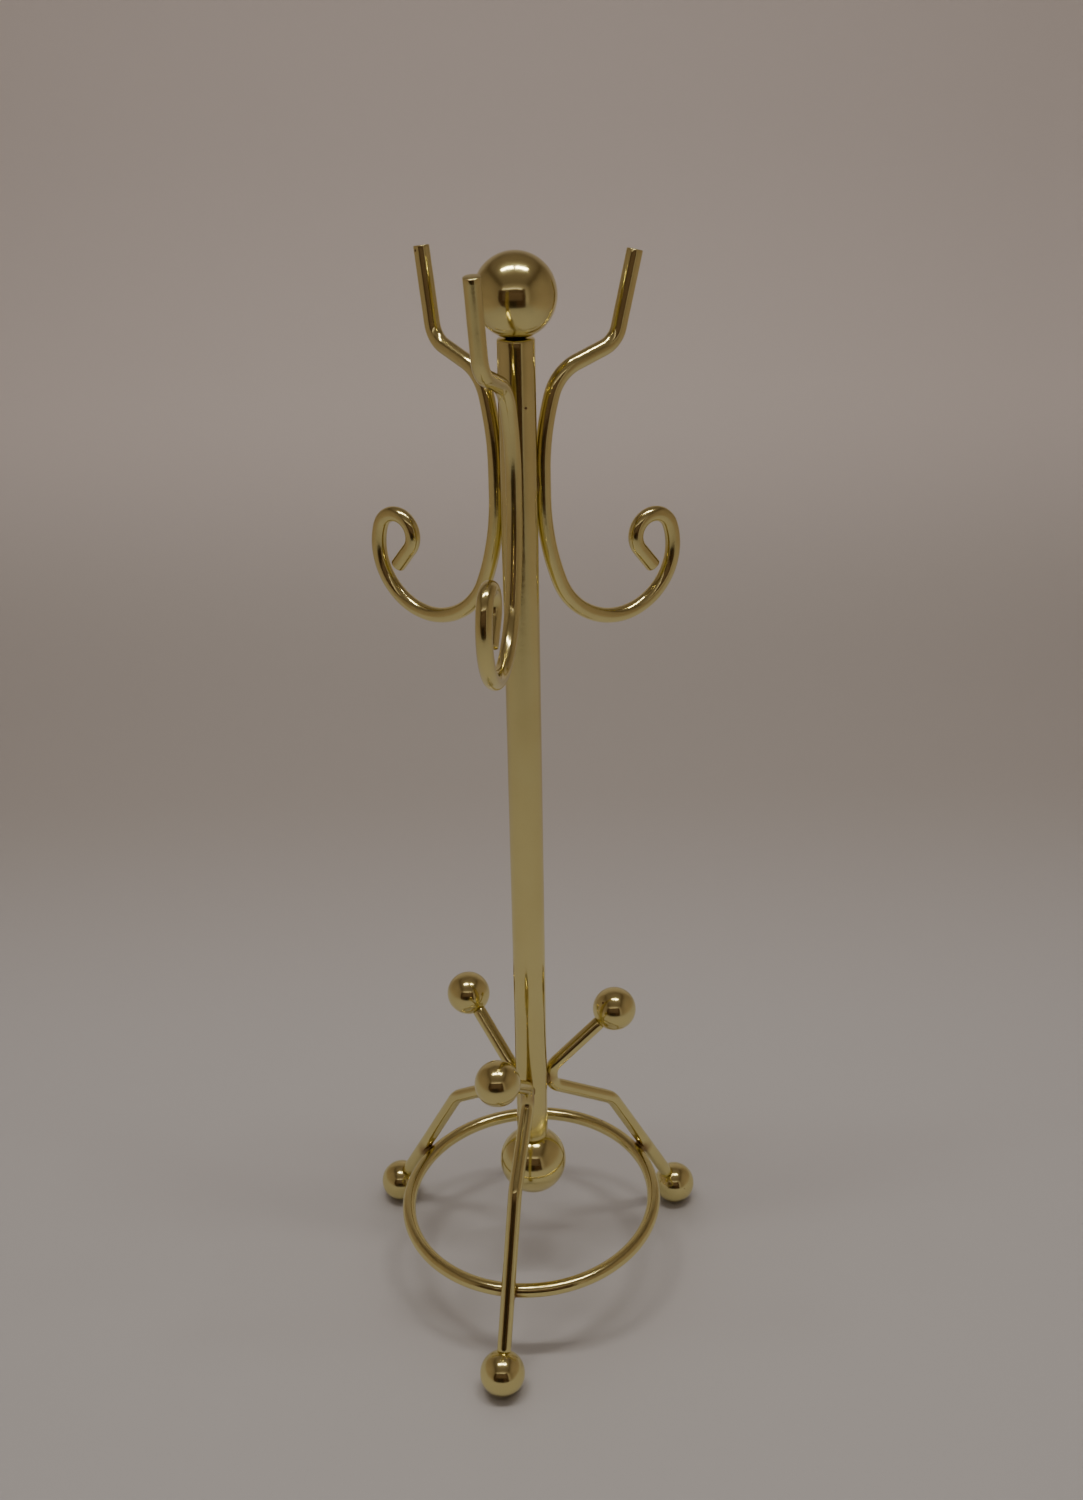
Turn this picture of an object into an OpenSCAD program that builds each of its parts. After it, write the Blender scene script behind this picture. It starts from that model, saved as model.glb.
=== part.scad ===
// Small brass wire tree: a round post stands on three bent wire legs with
// ball feet, three scroll hooks are brazed round its top, and a wire ring
// ties the legs together. Balls close the post's ends and the legs' ends.
// The Z axis is the post's axis, +Z is up, and the feet stand on z = 0.
// -Y is the front. Sizes are in millimetres and angles in degrees.

/* [Post] */
// Length of the post
post_l = 118; // [80:1:200]
// Diameter of the post
post_d = 4.6; // [3.4:0.1:6]
// Chamfer round the post's two ends
post_chamfer = 0.3; // [0.1:0.05:0.5]

/* [Balls] */
// Diameter of the finial and of the ball under the post
big_ball_d = 10; // [7:0.2:14]
// Diameter of the feet and of the balls on the legs' upper ends
small_ball_d = 6.4; // [4.6:0.1:8]
// Depth that a big ball is flattened where it is welded to the post
big_ball_sink = 0.1; // [0.05:0.05:0.3]
// Depth that a small ball is flattened where it is welded to a wire
small_ball_sink = 0.15; // [0.05:0.05:0.3]
// Height of the lowest point of the ball under the post
base_ball_lift = 14.6; // [10:0.2:22]

/* [Wire] */
// Diameter of the wire of the hooks, the legs and the ring
wire_d = 2; // [1.4:0.1:2.6]
// Gap between two brazed pieces, which the braze fills
braze_gap = 0.06; // [0.04:0.01:0.1]
// Diameter of the bead of braze where the ring crosses a leg
bead_d = 2.4; // [1.8:0.1:3]
// Width of the braze along the post, across both sides of the wire
groove_braze_w = 1.3; // [0.8:0.1:1.6]

/* [Hooks] */
// Distance from the post's top end down to the middle of the hooks' brazed stretch
hook_drop = 17.8; // [14:0.2:26]
// Straight stretch of a hook that is brazed to the post
hook_grip_l = 3; // [2:0.2:6]
// Radius of the long bow above the brazed stretch
upper_bow_r = 31; // [20:1:45]
// Angle of the long bow above the brazed stretch
upper_bow_angle = 17; // [10:1:24]
// Radius of the shoulder bend
shoulder_r = 5.5; // [4:0.5:8]
// Angle of the shoulder bend
shoulder_angle = 53; // [40:1:60]
// Straight stretch between the shoulder and the prong's bend
shoulder_l = 4; // [2:0.2:7]
// Radius of the bend at the foot of the prong
prong_bend_r = 3.2; // [2:0.2:5]
// Length of the straight prong
prong_l = 9.2; // [6:0.2:14]
// Radius of the long bow below the brazed stretch
lower_bow_r = 32.5; // [20:0.5:45]
// Angle of the long bow below the brazed stretch
lower_bow_angle = 21.5; // [14:0.5:26]
// Radius of the hook's bottom
cup_r = 9.7; // [7:0.1:13]
// Angle of the hook's bottom
cup_angle = 55.5; // [45:0.5:65]
// Radius of the hook's outer rise
rise_r = 8.3; // [6:0.1:11]
// Angle of the hook's outer rise
rise_angle = 123; // [110:1:130]
// Radius of the curl
curl_r = 2.7; // [2:0.1:3.2]
// Angle of the curl
curl_angle = 199; // [170:1:210]
// Straight end of the curl
curl_end_l = 3.4; // [1:0.1:4]

/* [Hook places] */
// Direction of the left hook round the post, from +X
hook_left_az = 146; // [130:1:160]
// Direction of the right hook
hook_right_az = 27; // [10:1:45]
// Direction of the front hook
hook_front_az = 259; // [245:1:275]
// Lean of the left prong away from the post
prong_left_lean = 8.5; // [0:0.5:20]
// Lean of the right prong
prong_right_lean = 13.5; // [0:0.5:20]
// Lean of the front prong
prong_front_lean = 10; // [0:0.5:20]
// Turn of the left hook's upper part, seen from above
prong_left_turn = -11; // [-20:1:20]
// Turn of the right hook's upper part
prong_right_turn = -2; // [-20:1:20]
// Turn of the front hook's upper part
prong_front_turn = -8; // [-20:1:20]

/* [Legs] */
// Height of the legs' bend that is brazed to the post
leg_grip_z = 34.1; // [30:0.2:50]
// Straight stretch at the middle of that bend
leg_grip_l = 0.6; // [0.4:0.1:3]
// Radius of that bend, above and below the straight stretch
leg_grip_r = 2.4; // [2:0.1:4.5]
// Slope of the upper arm, above level
upper_arm_slope = 38.7; // [25:0.5:55]
// Straight length of the upper arm, to the middle of its ball
upper_arm_l = 11.7; // [8:0.1:16]
// Slope of the inner part of the leg, below level
inner_slope = 33; // [20:1:45]
// Straight length of the inner part
inner_l = 10.5; // [7:0.1:14]
// Radius of the leg's knee
knee_r = 4; // [2:0.1:6]
// Slope of the outer part, below level
outer_slope = 61.3; // [50:0.5:72]

/* [Leg places] */
// Direction of the left leg round the post, from +X
leg_left_az = 146; // [130:1:160]
// Direction of the right leg
leg_right_az = 28.5; // [10:0.5:45]
// Direction of the front leg
leg_front_az = 259; // [245:1:275]
// Turn of the left leg's upper arm, seen from above
arm_left_turn = -16; // [-20:1:20]
// Turn of the right leg's upper arm
arm_right_turn = -11; // [-20:1:20]
// Turn of the front leg's upper arm
arm_front_turn = -13; // [-20:1:20]

/* [Ring] */
// Height of the ring's centre
ring_z = 12.6; // [9:0.1:18]
// Lean of the ring off level
ring_lean = 3; // [0:0.5:5]
// Direction of the ring's high side round the post
ring_high_az = 39; // [0:1:359]

/* [Hidden] */

$fn = 64;
// A bead is small beside the pieces it meets, so its curves are drawn finer
bead_fn = 180;
brass = [0.72, 0.63, 0.36];
braze = [0.55, 0.45, 0.22];

// Heights up the post
base_ball_z = base_ball_lift + big_ball_d / 2;
post_bottom_z = base_ball_z + big_ball_d / 2 - big_ball_sink;
post_top_z = post_bottom_z + post_l;
hook_grip_z = post_top_z - hook_drop;

// Distance from the post's axis to the middle of a wire brazed to it
grip_rho = (post_d + wire_d) / 2 + braze_gap;
// Distance from a small ball's middle to the wire end welded to it
ball_to_wire = small_ball_d / 2 - small_ball_sink;

// Where two stretches of a wire meet, a collar that stands this far out of
// the wire and is this long makes them one solid
joint_rise = 0.01;
joint_l = 0.1;

// A wire starts where its brazed stretch ends. It is a list of steps, each of
// them a straight length, then a bend's radius and its angle, which is
// positive for a bend away from the post.
function upper_hook(lean) = [
    [0, upper_bow_r, upper_bow_angle],
    [0, shoulder_r, shoulder_angle],
    [shoulder_l, prong_bend_r, lean - upper_bow_angle - shoulder_angle],
    [prong_l, 0, 0]];
lower_hook = [
    [0, lower_bow_r, lower_bow_angle],
    [0, cup_r, cup_angle],
    [0, rise_r, rise_angle],
    [0, curl_r, curl_angle],
    [curl_end_l, 0, 0]];
upper_arm = [
    [0, leg_grip_r, 90 - upper_arm_slope],
    [upper_arm_l - ball_to_wire, 0, 0]];

// The outer part of a leg runs from its knee down to the foot's height
knee_rho = grip_rho + leg_grip_r * (1 - sin(inner_slope)) + inner_l * cos(inner_slope)
    + knee_r * (sin(outer_slope) - sin(inner_slope));
knee_z = leg_grip_z - leg_grip_l / 2 - leg_grip_r * cos(inner_slope)
    - inner_l * sin(inner_slope) - knee_r * (cos(inner_slope) - cos(outer_slope));
outer_l = (knee_z - small_ball_d / 2) / sin(outer_slope);
lower_leg = [
    [0, leg_grip_r, 90 - inner_slope],
    [inner_l, knee_r, inner_slope - outer_slope],
    [outer_l - ball_to_wire, 0, 0]];

// The ring touches the inner side of the legs. As it leans, it slides down
// the legs towards its low side, so that it still touches all three.
ring_gap_rho = (wire_d + braze_gap) / sin(outer_slope);
ring_r = knee_rho + (knee_z - ring_z) / tan(outer_slope) - ring_gap_rho;
ring_shift = ring_r * tan(ring_lean) / tan(outer_slope);

// Height at which the leaning ring passes a leg
function ring_z_at(az) = ring_z + ring_r * tan(ring_lean) * cos(az - ring_high_az);
// Distance of a leg's middle from the post's axis at a height
function leg_rho_at(z) = knee_rho + (knee_z - z) / tan(outer_slope);

// Moves its children to the end of one step of a wire that starts up +Z
module after_step(step) {
    centre = sign(step[2]) * step[1];
    translate([centre, 0, step[0]])
        rotate([0, step[2], 0])
            translate([-centre, 0, 0])
                children();
}

// Moves its children past the first steps of a wire
module after_steps(steps, count, i = 0) {
    if (i < count)
        after_step(steps[i]) after_steps(steps, count, i + 1) children();
    else
        children();
}

// Part of a ring, from the origin up +Z towards +X, or towards -X
module bend(radius, angle) {
    mirror([angle < 0 ? 1 : 0, 0, 0])
        translate([radius, 0, 0])
            rotate([90, 0, 0])
                mirror([1, 0, 0])
                    rotate_extrude(angle = abs(angle))
                        translate([radius, 0])
                            circle(d = wire_d);
}

module joint() {
    cylinder(d = wire_d + 2 * joint_rise, h = joint_l, center = true);
}

// A wire bent in one plane, from the origin up +Z
module wire(steps, i = 0) {
    if (i < len(steps)) {
        joint();
        if (steps[i][0] > 0)
            cylinder(d = wire_d, h = steps[i][0]);
        if (steps[i][2] != 0)
            translate([0, 0, steps[i][0]]) {
                joint();
                bend(steps[i][1], steps[i][2]);
            }
        after_step(steps[i]) wire(steps, i + 1);
    }
}

// Places the part of a wire above its brazed stretch, which is turned about it
module upward(az, turn, z) {
    rotate([0, 0, az])
        translate([grip_rho, 0, z])
            rotate([0, 0, turn])
                children();
}

// Places the part of a wire below its brazed stretch
module downward(az, z) {
    rotate([0, 0, az])
        translate([grip_rho, 0, z])
            rotate([180, 0, 0])
                children();
}

// The straight stretch of a wire that is brazed to the post
module grip(az, z, l) {
    rotate([0, 0, az])
        translate([grip_rho, 0, z])
            cylinder(d = wire_d, h = l, center = true);
}

// A ball below the origin, flattened where a wire or the post ends on it
module flattened_ball(d, sink) {
    translate([0, 0, sink - d / 2])
        difference() {
            sphere(d = d);
            translate([0, 0, d / 2 - sink])
                cylinder(d = d, h = d);
        }
}

module post() {
    color(brass)
        translate([0, 0, post_bottom_z]) {
            cylinder(d1 = post_d - 2 * post_chamfer, d2 = post_d, h = post_chamfer);
            translate([0, 0, post_chamfer])
                cylinder(d = post_d, h = post_l - 2 * post_chamfer);
            translate([0, 0, post_l - post_chamfer])
                cylinder(d1 = post_d, d2 = post_d - 2 * post_chamfer, h = post_chamfer);
        }
}

module finial_ball() {
    color(brass)
        translate([0, 0, post_top_z])
            rotate([180, 0, 0])
                flattened_ball(big_ball_d, big_ball_sink);
}

module base_ball() {
    color(brass)
        translate([0, 0, post_bottom_z])
            flattened_ball(big_ball_d, big_ball_sink);
}

module hook_wire(az, turn, lean) {
    color(brass) {
        upward(az, turn, hook_grip_z + hook_grip_l / 2)
            wire(upper_hook(lean));
        grip(az, hook_grip_z, hook_grip_l);
        downward(az, hook_grip_z - hook_grip_l / 2)
            wire(lower_hook);
    }
}

module leg_wire(az, turn) {
    color(brass) {
        upward(az, turn, leg_grip_z + leg_grip_l / 2)
            wire(upper_arm);
        grip(az, leg_grip_z, leg_grip_l);
        downward(az, leg_grip_z - leg_grip_l / 2)
            wire(lower_leg);
    }
}

module foot_ball(az) {
    color(brass)
        downward(az, leg_grip_z - leg_grip_l / 2)
            after_steps(lower_leg, len(lower_leg))
                rotate([180, 0, 0])
                    flattened_ball(small_ball_d, small_ball_sink);
}

module arm_ball(az, turn) {
    color(brass)
        upward(az, turn, leg_grip_z + leg_grip_l / 2)
            after_steps(upper_arm, len(upper_arm))
                rotate([180, 0, 0])
                    flattened_ball(small_ball_d, small_ball_sink);
}

module ring_wire() {
    rotate([0, 0, ring_high_az])
        translate([-ring_shift, 0, ring_z])
            rotate([0, -ring_lean, 0])
                rotate_extrude()
                    translate([ring_r, 0])
                        circle(d = wire_d);
}

module base_ring() {
    color(brass)
        ring_wire();
}

// Braze that fills both grooves between a wire's straight stretch and the post
module groove_braze(az, z, l) {
    color(braze)
        rotate([0, 0, az])
            translate([0, 0, z - l / 2])
                linear_extrude(l)
                    difference() {
                        translate([post_d / 4, -groove_braze_w / 2])
                            square([grip_rho - post_d / 4, groove_braze_w]);
                        circle(d = post_d);
                        translate([grip_rho, 0])
                            circle(d = wire_d);
                    }
}

module hook_braze(az) {
    groove_braze(az, hook_grip_z, hook_grip_l - joint_l);
}

module leg_braze(az) {
    groove_braze(az, leg_grip_z, leg_grip_l - joint_l);
}

// Bead of braze between the ring and a leg
module ring_braze(az) {
    $fn = bead_fn;
    z = ring_z_at(az);
    color(braze)
        difference() {
            rotate([0, 0, az])
                translate([leg_rho_at(z) - ring_gap_rho / 2, 0, z])
                    sphere(d = bead_d);
            ring_wire();
            downward(az, leg_grip_z - leg_grip_l / 2)
                after_steps(lower_leg, 2)
                    cylinder(d = wire_d, h = outer_l);
        }
}

post();
finial_ball();
base_ball();
hook_wire(hook_left_az, prong_left_turn, prong_left_lean);  // hook_left
hook_wire(hook_right_az, prong_right_turn, prong_right_lean);  // hook_right
hook_wire(hook_front_az, prong_front_turn, prong_front_lean);  // hook_front
leg_wire(leg_left_az, arm_left_turn);  // leg_left
leg_wire(leg_right_az, arm_right_turn);  // leg_right
leg_wire(leg_front_az, arm_front_turn);  // leg_front
base_ring();
foot_ball(leg_left_az);  // foot_ball_left
foot_ball(leg_right_az);  // foot_ball_right
foot_ball(leg_front_az);  // foot_ball_front
arm_ball(leg_left_az, arm_left_turn);  // arm_ball_left
arm_ball(leg_right_az, arm_right_turn);  // arm_ball_right
arm_ball(leg_front_az, arm_front_turn);  // arm_ball_front
hook_braze(hook_left_az);  // hook_braze_left
hook_braze(hook_right_az);  // hook_braze_right
hook_braze(hook_front_az);  // hook_braze_front
leg_braze(leg_left_az);  // leg_braze_left
leg_braze(leg_right_az);  // leg_braze_right
leg_braze(leg_front_az);  // leg_braze_front
ring_braze(leg_left_az);  // ring_braze_left
ring_braze(leg_right_az);  // ring_braze_right
ring_braze(leg_front_az);  // ring_braze_front
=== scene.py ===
import math
import bmesh
import bpy
from mathutils import Matrix, Vector, noise


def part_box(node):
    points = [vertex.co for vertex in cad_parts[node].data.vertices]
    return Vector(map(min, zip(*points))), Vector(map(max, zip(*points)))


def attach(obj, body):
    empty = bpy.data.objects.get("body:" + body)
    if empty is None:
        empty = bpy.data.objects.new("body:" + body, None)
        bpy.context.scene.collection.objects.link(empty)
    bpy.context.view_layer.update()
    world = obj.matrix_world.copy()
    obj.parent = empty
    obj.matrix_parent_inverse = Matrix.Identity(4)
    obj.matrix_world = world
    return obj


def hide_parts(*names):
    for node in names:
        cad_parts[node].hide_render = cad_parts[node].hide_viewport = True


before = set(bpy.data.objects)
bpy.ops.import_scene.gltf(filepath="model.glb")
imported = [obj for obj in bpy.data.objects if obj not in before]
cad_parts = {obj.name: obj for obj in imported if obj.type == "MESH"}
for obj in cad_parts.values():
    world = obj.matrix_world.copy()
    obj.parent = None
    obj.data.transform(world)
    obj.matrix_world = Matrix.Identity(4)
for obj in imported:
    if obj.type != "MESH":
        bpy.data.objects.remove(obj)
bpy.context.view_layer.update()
mm = 0.001


# Camera: close to the stand, a little above its top, and looking down on it,
# so that the hooks loom over a base that shrinks below them.
camera_data = bpy.data.cameras.new("camera")
camera_data.lens = 36.64
camera_data.sensor_width = 36
camera_data.clip_start = 0.01
camera = bpy.data.objects.new("camera", camera_data)
camera.matrix_world = (
    Matrix.Translation((-0.16 * mm, -183.05 * mm, 176.37 * mm))
    @ Matrix.Rotation(math.radians(-0.756), 4, "Z")
    @ Matrix.Rotation(math.radians(90 - 25.61), 4, "X")
    @ Matrix.Rotation(math.radians(-0.916), 4, "Z")
)
bpy.context.scene.collection.objects.link(camera)
bpy.context.scene.camera = camera


# Light tent: one sheet of pale paper swept up behind the stand, with painted shade
# darkening it at the sides and on the floor towards the back. Two short strips of lamps hang from its
# roof.
# In its doorway behind the camera, dark sheets that only the polished brass mirrors are painted shade
# and a painted reflection of a dim room with an onlooker.
class Shade:
    """A socket of a material being mixed, on which sums and products become Math nodes."""

    def __init__(self, mix, socket):
        self.mix = mix
        self.socket = socket

    def maths(self, operation, first, second):
        return self.mix.node("ShaderNodeMath", {"operation": operation}, {0: first, 1: second})

    def __add__(self, other):
        return self.maths("ADD", self, other)

    __radd__ = __add__

    def __sub__(self, other):
        return self.maths("SUBTRACT", self, other)

    def __rsub__(self, other):
        return self.maths("SUBTRACT", other, self)

    def __mul__(self, other):
        return self.maths("MULTIPLY", self, other)

    __rmul__ = __mul__

    def above(self, edge):
        return self.maths("GREATER_THAN", self, edge)

    def below(self, edge):
        return self.maths("LESS_THAN", self, edge)


class Finish:
    """A material being mixed, with one method that adds any node to it."""

    def __init__(self, name, **values):
        self.material = bpy.data.materials.new(name)
        self.material.use_nodes = True
        self.nodes = self.material.node_tree.nodes
        self.links = self.material.node_tree.links
        self.surface = self.nodes["Principled BSDF"]
        for socket, value in values.items():
            self.surface.inputs[socket.replace("_", " ")].default_value = value
        self.place = self.node("ShaderNodeTexCoord", output="Object")

    def node(self, kind, settings=None, inputs=None, output=0):
        made = self.nodes.new(kind)
        for name, value in (settings or {}).items():
            setattr(made, name, value)
        for name, value in (inputs or {}).items():
            self.join(value, made.inputs[name])
        return Shade(self, made.outputs[output])

    def join(self, value, socket):
        if isinstance(value, Shade):
            self.links.new(value.socket, socket)
        else:
            socket.default_value = value

    def blend(self, value, start, end, first, second):
        """Changes from one colour to another while a value goes from start to end."""
        share = self.node("ShaderNodeMapRange", {"interpolation_type": "SMOOTHSTEP"}, {
            "Value": value, "From Min": start, "From Max": end})
        return self.node(
            "ShaderNodeMix", {"data_type": "RGBA"}, {"Factor": share, 6: first, 7: second}, output=2)

    def drive(self, socket, value):
        self.join(value, self.surface.inputs[socket])


def piece_from(bm, name, finish):
    """Turns a bmesh into an object at the origin, with its faces pointing outwards."""
    bmesh.ops.recalc_face_normals(bm, faces=bm.faces[:])
    mesh = bpy.data.meshes.new(name)
    bm.to_mesh(mesh)
    bm.free()
    mesh.materials.append(finish.material)
    mesh.shade_smooth()
    piece = bpy.data.objects.new(name, mesh)
    bpy.context.scene.collection.objects.link(piece)
    return piece


def on_stage(thing):
    """Flips the normals of a sheet of the tent, which isn't part of the stand, so that they face
    inwards.
    """
    thing.data.flip_normals()


tent_half = 310 * mm
tent_height = 400 * mm
sweep_r = 150 * mm
near_floor = (0.47, 0.46, 0.455, 1)
# Painted shade: the floor darkens towards the back, where the paper curves up.
far_floor_painted_shade = (0.41, 0.38, 0.355, 1)
back_wall = (0.62, 0.57, 0.54, 1)
# Painted shade: the paper darkens towards the side walls.
side_wall_painted_shade = (0.42, 0.36, 0.31, 1)
paper = Finish("tent_paper", Roughness=0.9)
across, back, rise = [
    paper.node("ShaderNodeSeparateXYZ", {}, {"Vector": paper.place}, output=axis) for axis in "XYZ"]
# Painted shade on the far floor, then the back wall, then painted shade towards the sides.
pale = paper.blend(back, 50 * mm, 170 * mm, near_floor, far_floor_painted_shade)
pale = paper.blend(rise, 5 * mm, 75 * mm, pale, back_wall)
paper.drive("Base Color", paper.blend(
    across * across, (180 * mm) ** 2, (280 * mm) ** 2, pale, side_wall_painted_shade))
bm = bmesh.new()
bmesh.ops.create_cube(bm, size=1)
bmesh.ops.scale(bm, vec=(2 * tent_half, 2 * tent_half, tent_height), verts=bm.verts[:])
bmesh.ops.translate(bm, vec=(0, 0, tent_height / 2), verts=bm.verts[:])
swept = [
    e for e in bm.edges
    if max(v.co.y for v in e.verts) > 0 and min(v.co.z for v in e.verts) < 1 * mm]
bmesh.ops.bevel(
    bm, geom=swept, offset=sweep_r, segments=16, affect="EDGES", profile=0.5, material=-1)
on_stage(piece_from(bm, "floor_and_tent", paper))


def painted_shade_sheet(name, width, height, across, middle, nearer, colour):
    """A dark sheet in the doorway, which only the brass sees: painted shade and painted reflection.
    Nearer sheets hide others.
    """
    bm = bmesh.new()
    bmesh.ops.create_grid(bm, x_segments=1, y_segments=1, size=0.5)
    bmesh.ops.scale(bm, vec=(width, height, 1), verts=bm.verts[:])
    bmesh.ops.rotate(bm, matrix=Matrix.Rotation(math.pi / 2, 3, "X"), verts=bm.verts[:])
    bmesh.ops.translate(bm, vec=(across, nearer - tent_half, middle), verts=bm.verts[:])
    sheet = piece_from(bm, name, Finish(name, Base_Color=colour, Roughness=1.0))
    on_stage(sheet)
    sheet.visible_camera = False
    sheet.visible_diffuse = False
    sheet.visible_shadow = False


# Painted shade for the unlit doorway, and a painted reflection of the dim room and the onlooker in
# it.
painted_shade_sheet("doorway", 480 * mm, 285 * mm, -70 * mm, 143 * mm, 2 * mm, (0.085, 0.045, 0.028, 1))
painted_shade_sheet("room", 320 * mm, 120 * mm, -46 * mm, 170 * mm, 3 * mm, (0.17, 0.12, 0.10, 1))
painted_shade_sheet("onlooker", 165 * mm, 112 * mm, -60 * mm, 57 * mm, 4 * mm, (0.03, 0.018, 0.012, 1))


def lamp(name, width, depth, place, energy, colour):
    """A flat lamp that shines along the place's -Z axis."""
    light = bpy.data.lights.new(name, "AREA")
    light.shape = "RECTANGLE"
    light.size = width
    light.size_y = depth
    light.energy = energy
    light.color = colour
    made = bpy.data.objects.new(name, light)
    made.matrix_world = place
    bpy.context.scene.collection.objects.link(made)
    return made


overhead = tent_height - 4 * mm
for side, name in ((-1, "roof_strip_left"), (1, "roof_strip_right")):
    lamp(name, 115 * mm, 18 * mm, Matrix.Translation((side * 70 * mm, -32 * mm, overhead)),
         0.27, (1.0, 0.94, 0.88))
glow = lamp(
    "roof_glow", 560 * mm, 560 * mm, Matrix.Translation((0, 0, overhead + 2 * mm)),
    0.63, (1.0, 0.95, 0.91))
glow.visible_glossy = False
door_top = Matrix.Translation((-52 * mm, 5 * mm - tent_half, 290 * mm))
lamp("door_strip", 335 * mm, 12 * mm, door_top @ Matrix.Rotation(math.pi / 2, 4, "X"),
     0.022, (1.0, 0.9, 0.86))


# Post: a rod of drawn brass, sawn to length, chamfered on both ends and
# polished. A little unevenness is left along it from the polishing wheel.
bright_brass = (0.81, 0.745, 0.355, 1)
dull_brass = (0.69, 0.60, 0.255, 1)
pit_brown = (0.24, 0.15, 0.07, 1)
# Torch brown at joints, also used as painted shade in the front leg's bend.
torch_brown_and_shade = (0.40, 0.27, 0.12, 1)


def brass_finish(name, joints=()):
    """Polished brass, clouded, dented and pitted a little. The torch has browned it at joints, and at
    the front leg's joint the brown is also painted shade.
    """
    brass = Finish(name, Metallic=1.0)
    cloud, ripple, grain = [
        brass.node("ShaderNodeTexNoise", {}, {"Vector": brass.place, "Scale": scale, "Detail": 3.0})
        for scale in (130.0, 480.0, 1700.0)]
    wobble = brass.node(
        "ShaderNodeTexNoise", {}, {"Vector": brass.place, "Scale": 2500.0}, output="Color")
    bent = brass.node("ShaderNodeVectorMath", {"operation": "MULTIPLY_ADD"}, {
        0: wobble, 1: (0.4 * mm, 0.4 * mm, 0.4 * mm), 2: brass.place})
    cell, chance = [
        brass.node("ShaderNodeTexVoronoi", {}, {"Vector": bent, "Scale": 600.0}, output=output)
        for output in ("Distance", "Color")]
    pit = cell.below(0.10) * chance.above(0.85)
    colour = brass.node("ShaderNodeMix", {"data_type": "RGBA"}, {
        "Factor": cloud, 6: bright_brass, 7: dull_brass}, output=2)
    colour = brass.node("ShaderNodeMix", {"data_type": "RGBA"}, {
        "Factor": pit, 6: colour, 7: pit_brown}, output=2)
    for joint, reach in joints:
        away = brass.node(
            "ShaderNodeVectorMath", {"operation": "DISTANCE"}, {0: brass.place, 1: joint},
            output="Value")
        colour = brass.blend(away + ripple * mm, reach / 2, reach, torch_brown_and_shade, colour)
    brass.drive("Base Color", colour)
    brass.drive("Roughness", 0.11 + 0.07 * cloud + 0.3 * pit)
    height = cloud * 0.6 + ripple * 0.25 + grain * 0.12 - pit * 0.15
    brass.drive("Normal", brass.node("ShaderNodeBump", {}, {
        "Strength": 0.25, "Distance": 0.0002, "Height": height}))
    return brass


brass = brass_finish("polished_brass")


def stand_in_for(piece, node):
    """Lets a finished piece stand for the plain solid of the same name."""
    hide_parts(node)
    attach(piece, "root")


def worn(bm, depth, size, seed):
    """Moves a surface in and out by a little, in soft waves of about the given size."""
    bmesh.ops.recalc_face_normals(bm, faces=bm.faces[:])
    bm.normal_update()
    shift = Vector((seed, 2 * seed, 3 * seed))
    moves = [(v, v.normal * depth * noise.noise(v.co / size + shift)) for v in bm.verts]
    for vert, move in moves:
        vert.co += move


def closed_end(bm, loop, edge):
    """Closes the end of a rod or wire with a flat face and rounds its edge."""
    face = bmesh.ops.contextual_create(bm, geom=loop)["faces"][0]
    bmesh.ops.bevel(
        bm, geom=list(face.edges), offset=edge, segments=3, affect="EDGES", profile=0.5, material=-1)


def onward(bm, loop, way, length, pitch):
    """Draws a loop of edges out along a straight way and returns the last loop."""
    count = max(1, round(length / pitch))
    for _ in range(count):
        drawn = bmesh.ops.extrude_edge_only(bm, edges=loop)["geom"]
        loop = [e for e in drawn if isinstance(e, bmesh.types.BMEdge) and not e.link_faces[1:]]
        corners = [v for v in drawn if isinstance(v, bmesh.types.BMVert)]
        bmesh.ops.translate(bm, vec=way * length / count, verts=corners)
    return loop


post_low, post_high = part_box("post")
post_r = (post_high.x - post_low.x) / 2
post_chamfer = 0.3 * mm
bm = bmesh.new()
bmesh.ops.create_circle(bm, segments=96, radius=post_r)
bmesh.ops.translate(bm, vec=(0, 0, post_low.z), verts=bm.verts[:])
start = bm.edges[:]
end = onward(bm, start, Vector((0, 0, 1)), post_high.z - post_low.z, 1 * mm)
closed_end(bm, start, post_chamfer)
closed_end(bm, end, post_chamfer)
worn(bm, 0.012 * mm, 6 * mm, 1.0)
stand_in_for(piece_from(bm, "post_rod", brass), "post")


# Large balls: solid turned brass, one butt-welded on each end of the post. A
# small flat on the ball meets the rod, with a dark crevice round it.
def turned_ball(name, radius, sink, place, segments, seed):
    """A ball below the place's origin, with a small flat there that meets a rod or a wire."""
    bm = bmesh.new()
    lift = radius - sink
    flat_r = math.sqrt(radius ** 2 - lift ** 2)
    rim = bmesh.ops.create_vert(bm, co=(flat_r, 0, 0))["vert"]
    opening = math.atan2(flat_r, lift)
    bmesh.ops.spin(
        bm, geom=rim, cent=(0, 0, -lift), axis=(0, 1, 0), angle=math.pi - opening,
        steps=segments // 2)
    outline = bm.verts[:] + bm.edges[:]
    bmesh.ops.spin(
        bm, geom=outline, cent=(0, 0, 0), axis=(0, 0, 1), angle=2 * math.pi, steps=segments,
        use_merge=True)
    bmesh.ops.remove_doubles(bm, verts=bm.verts[:], dist=0.001 * mm)
    rim_edges = [e for e in bm.edges if e.is_boundary]
    bmesh.ops.contextual_create(bm, geom=rim_edges)
    worn(bm, 0.012 * mm, 2.5 * mm, seed)
    bmesh.ops.transform(bm, matrix=place, verts=bm.verts[:])
    return piece_from(bm, name, brass)


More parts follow.
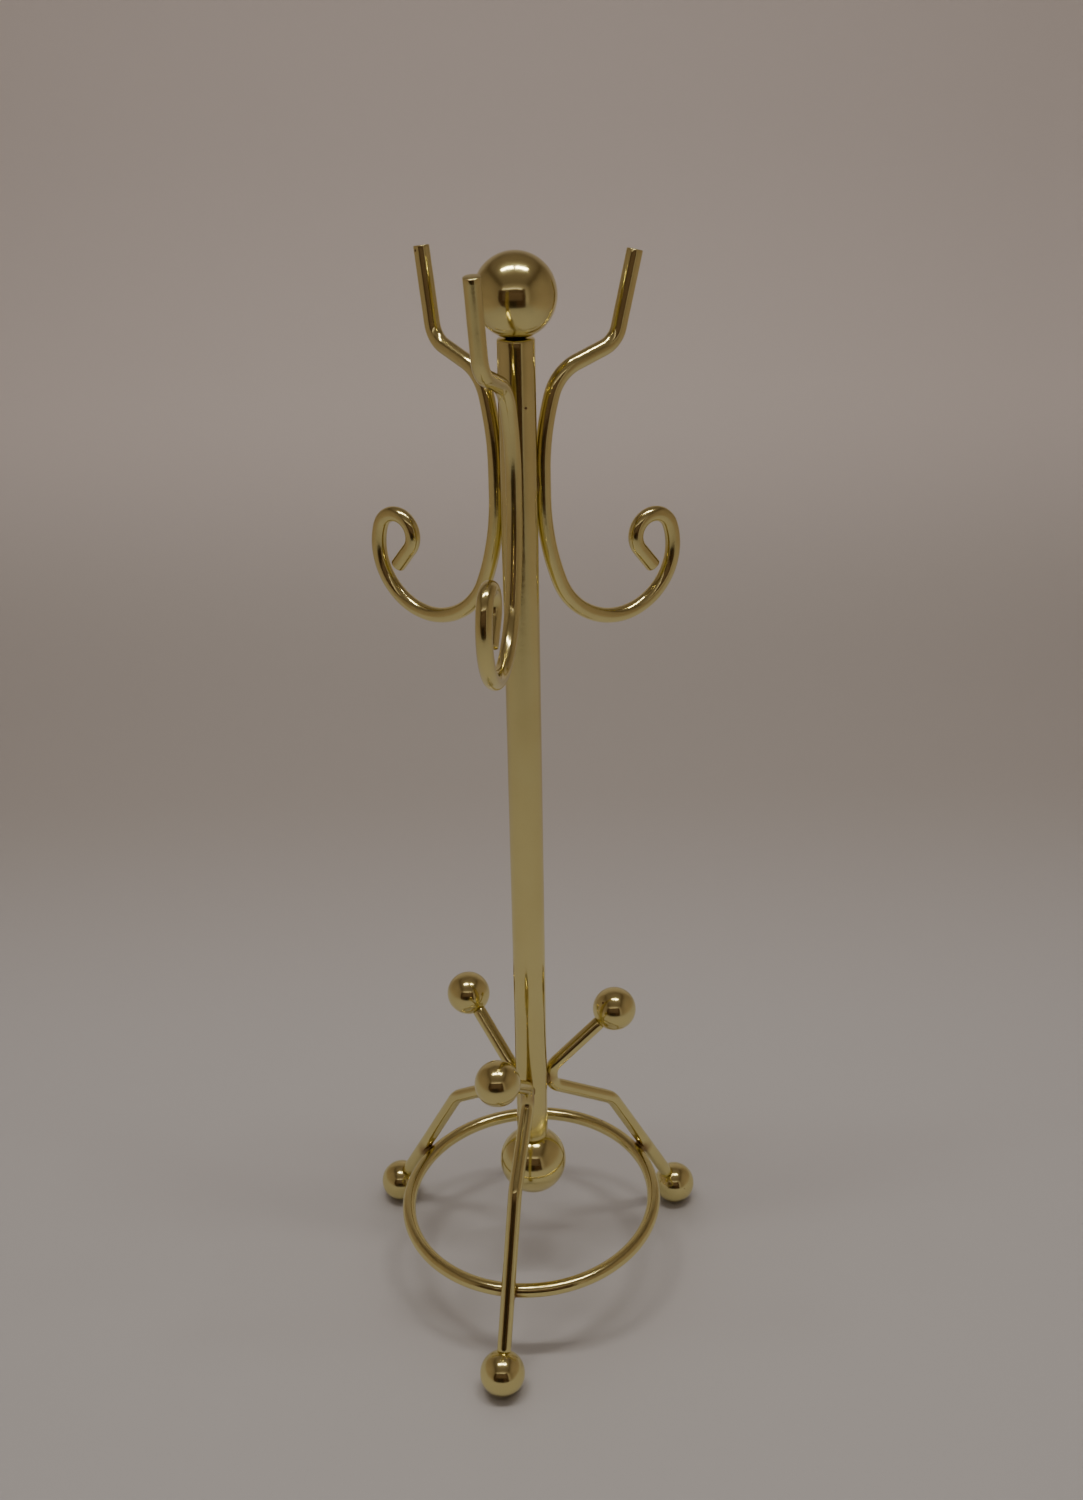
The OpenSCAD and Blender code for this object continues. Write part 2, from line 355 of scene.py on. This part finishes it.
big_r = 5 * mm
big_sink = 0.1 * mm
stand_in_for(
    turned_ball(
        "top_ball", big_r, big_sink,
        Matrix.Translation((0, 0, post_high.z)) @ Matrix.Rotation(math.pi, 4, "X"), 96, 2.0),
    "finial_ball")
stand_in_for(
    turned_ball("bottom_ball", big_r, big_sink, Matrix.Translation((0, 0, post_low.z)), 96, 3.0),
    "base_ball")


# Hooks: three lengths of polished brass wire, each bent cold round pegs into a
# straight prong, a shoulder, a long bow that lies on the post, a wide cup and
# a tight curl, and nipped off at both ends.
wire_r = 1 * mm
braze_gap = 0.06 * mm
grip_rho = post_r + wire_r + braze_gap


def bent_wire(bm, loop, place, steps):
    """Draws a loop along straights and bends. Each step is a length, a radius and an angle."""
    for length, radius, angle in steps:
        if length:
            loop = onward(bm, loop, place.to_3x3() @ Vector((0, 0, 1)), length, 0.6 * mm)
            place = place @ Matrix.Translation((0, 0, length))
        if angle:
            turn = math.radians(angle)
            centre = Vector((math.copysign(radius, angle), 0, 0))
            spun = bmesh.ops.spin(
                bm, geom=loop, cent=place @ centre, axis=place.to_3x3() @ Vector((0, 1, 0)),
                angle=turn, steps=max(6, round(radius * abs(turn) / (0.45 * mm))))
            loop = [e for e in spun["geom_last"] if isinstance(e, bmesh.types.BMEdge)]
            place = (place @ Matrix.Translation(centre) @ Matrix.Rotation(turn, 4, "Y")
                     @ Matrix.Translation(-centre))
    return loop, place


def wire_on_post(name, azimuth, turn, height, grip, upper, lower, seed, finish):
    """A wire whose straight grip lies on the post. Its upper part is turned about the grip."""
    middle = (Matrix.Rotation(math.radians(azimuth), 4, "Z")
              @ Matrix.Translation((grip_rho, 0, height)))
    twisted = Matrix.Rotation(math.radians(turn), 4, "Z")
    bm = bmesh.new()
    bmesh.ops.create_circle(bm, segments=40, radius=wire_r)
    bmesh.ops.transform(bm, matrix=middle, verts=bm.verts[:])
    start = bm.edges[:]
    top, top_place = bent_wire(bm, start, middle @ twisted, [(grip / 2, 0, 0)] + upper)
    low, low_place = bent_wire(
        bm, start, middle @ Matrix.Rotation(math.pi, 4, "X"), [(grip / 2, 0, 0)] + lower)
    for loop in (top, low):
        closed_end(bm, loop, 0.12 * mm)
    worn(bm, 0.01 * mm, 2.2 * mm, seed)
    return piece_from(bm, name, finish), top_place, low_place


def on_post(azimuth, height):
    """The middle of the gap between the post and a wire on it."""
    return (Matrix.Rotation(math.radians(azimuth), 4, "Z")
            @ Matrix.Translation((post_r + braze_gap / 2, 0, height)))


hook_height = post_high.z - 17.8 * mm
hook_cup = [
    (0, 32.5 * mm, 21.5),
    (0, 9.7 * mm, 55.5),
    (0, 8.3 * mm, 123),
    (0, 2.7 * mm, 199),
    (3.4 * mm, 0, 0)]
hooks = {
    "left": (146, -11, 8.5),
    "right": (27, -2, 13.5),
    "front": (259, -8, 10)}
for number, (side, (azimuth, turn, lean)) in enumerate(hooks.items()):
    prong = [
        (0, 31 * mm, 17),
        (0, 5.5 * mm, 53),
        (4 * mm, 3.2 * mm, lean - 17 - 53),
        (9.2 * mm, 0, 0)]
    wire, _, _ = wire_on_post(
        f"{side}_hook", azimuth, turn, hook_height, 3 * mm, prong, hook_cup, 4.0 + number, brass)
    stand_in_for(wire, f"hook_{side}")


# Legs: three lengths of the same wire, each bent sharply where it is brazed to
# the post, with a short arm that points up and out and a longer leg with a knee.
small_r = 3.2 * mm
small_sink = 0.15 * mm
ball_to_wire = small_r - small_sink
leg_height = 34.1 * mm
leg_grip = 0.6 * mm
leg_bend_r = 2.4 * mm
inner_slope = math.radians(33)
outer_slope = math.radians(61.3)
knee_r = 4 * mm
inner_length = 10.5 * mm
knee_rho = (grip_rho + leg_bend_r * (1 - math.sin(inner_slope)) + inner_length * math.cos(inner_slope)
            + knee_r * (math.sin(outer_slope) - math.sin(inner_slope)))
knee_height = (leg_height - leg_grip / 2 - leg_bend_r * math.cos(inner_slope)
               - inner_length * math.sin(inner_slope)
               - knee_r * (math.cos(inner_slope) - math.cos(outer_slope)))
outer_length = (knee_height - small_r) / math.sin(outer_slope)
arm = [
    (0, leg_bend_r, 90 - 38.7),
    (11.7 * mm - ball_to_wire, 0, 0)]
leg = [
    (0, leg_bend_r, 90 - math.degrees(inner_slope)),
    (inner_length, knee_r, math.degrees(inner_slope - outer_slope)),
    (outer_length - ball_to_wire, 0, 0)]
legs = {
    "left": (146, -16),
    "right": (28.5, -11),
    "front": (259, -13)}
ring_height = 12.6 * mm
ring_lean = math.radians(3)
ring_azimuth = math.radians(39)
ring_r = (knee_rho + (knee_height - ring_height) / math.tan(outer_slope)
          - (2 * wire_r + braze_gap) / math.sin(outer_slope))


def on_ring(azimuth):
    """The middle of the gap between the ring and the leg that stands outside it."""
    angle = math.radians(azimuth)
    height = ring_height + ring_r * math.tan(ring_lean) * math.cos(angle - ring_azimuth)
    rho = (knee_rho + (knee_height - height) / math.tan(outer_slope)
           - (2 * wire_r + braze_gap) / math.sin(outer_slope) / 2)
    return Matrix.Rotation(angle, 4, "Z") @ Matrix.Translation((rho, 0, height))


# How far the torch's brown reaches round each leg's joint with the post. The front one reaches
# further, as painted shade in the bend where the wire meets the post.
post_heat_and_shade = {"left": 2.4 * mm, "right": 2.4 * mm, "front": 3.2 * mm}
ring_heat = 2.6 * mm
wire_ends = {}
for number, (side, (azimuth, turn)) in enumerate(legs.items()):
    finish = brass_finish(
        f"{side}_leg_brass",
        [(on_post(azimuth, leg_height).translation, post_heat_and_shade[side]),
         (on_ring(azimuth).translation, ring_heat)])
    wire, arm_end, foot_end = wire_on_post(
        f"{side}_leg", azimuth, turn, leg_height, leg_grip, arm, leg, 8.0 + number, finish)
    stand_in_for(wire, f"leg_{side}")
    wire_ends["arm", side] = arm_end
    wire_ends["foot", side] = foot_end


# Ring: one more length of the wire, closed into a hoop, butt-welded and
# polished. It lies inside the legs and leans a little.
ring_shift = ring_r * math.tan(ring_lean) / math.tan(outer_slope)
ring_place = (
    Matrix.Rotation(ring_azimuth, 4, "Z")
    @ Matrix.Translation((-ring_shift, 0, ring_height))
    @ Matrix.Rotation(-ring_lean, 4, "Y"))
bm = bmesh.new()
bmesh.ops.create_circle(bm, segments=40, radius=wire_r)
bmesh.ops.rotate(bm, matrix=Matrix.Rotation(math.pi / 2, 3, "X"), verts=bm.verts[:])
bmesh.ops.translate(bm, vec=(ring_r, 0, 0), verts=bm.verts[:])
bmesh.ops.spin(
    bm, geom=bm.verts[:] + bm.edges[:], cent=(0, 0, 0), axis=(0, 0, 1), angle=2 * math.pi,
    steps=240, use_merge=True)
worn(bm, 0.012 * mm, 3 * mm, 12.0)
bmesh.ops.transform(bm, matrix=ring_place, verts=bm.verts[:])
ring_brass = brass_finish(
    "hoop_brass", [(on_ring(azimuth).translation, ring_heat) for azimuth, _ in legs.values()])
stand_in_for(piece_from(bm, "hoop", ring_brass), "base_ring")


# Small balls: six solid balls, butt-welded on the ends of the legs' wires. The
# lower ones are the feet.
for number, ((end, side), place) in enumerate(wire_ends.items()):
    ball = turned_ball(
        f"{side}_{end}_ball", small_r, small_sink, place @ Matrix.Rotation(math.pi, 4, "X"),
        72, 13.0 + number)
    stand_in_for(ball, f"{end}_ball_{side}")


# Braze: brass-coloured filler melted into each joint with a torch. It is
# darker and duller than the polished wire, and slightly lumpy.
filler = Finish("dull_braze", Metallic=1.0)
scale_noise = filler.node(
    "ShaderNodeTexNoise", {}, {"Vector": filler.place, "Scale": 1200.0, "Detail": 4.0})
filler.drive("Base Color", filler.node("ShaderNodeMix", {"data_type": "RGBA"}, {
    "Factor": scale_noise, 6: (0.42, 0.31, 0.13, 1), 7: (0.22, 0.14, 0.06, 1)}, output=2))
filler.drive("Roughness", 0.3 + 0.3 * scale_noise)
filler.drive("Normal", filler.node("ShaderNodeBump", {}, {
    "Strength": 0.4, "Distance": 0.0002, "Height": scale_noise}))


def braze_bead(name, place, size, seed):
    """A lump of filler round the place's origin, with the given half sizes."""
    bm = bmesh.new()
    bmesh.ops.create_icosphere(bm, subdivisions=4, radius=1 * mm)
    bmesh.ops.scale(bm, vec=[s / mm for s in size], verts=bm.verts[:])
    worn(bm, 0.12 * mm, 0.7 * mm, seed)
    bmesh.ops.transform(bm, matrix=place, verts=bm.verts[:])
    return piece_from(bm, name, filler)


for number, side in enumerate(hooks):
    seed = 20.0 + number
    stand_in_for(
        braze_bead(f"{side}_hook_braze", on_post(hooks[side][0], hook_height),
                   (0.35 * mm, 0.7 * mm, 1.6 * mm), seed),
        f"hook_braze_{side}")
    stand_in_for(
        braze_bead(f"{side}_leg_braze", on_post(legs[side][0], leg_height),
                   (0.7 * mm, 0.95 * mm, 1.1 * mm), seed + 3),
        f"leg_braze_{side}")
    stand_in_for(
        braze_bead(f"{side}_ring_braze", on_ring(legs[side][0]),
                   (0.8 * mm, 1.0 * mm, 0.9 * mm), seed + 6),
        f"ring_braze_{side}")
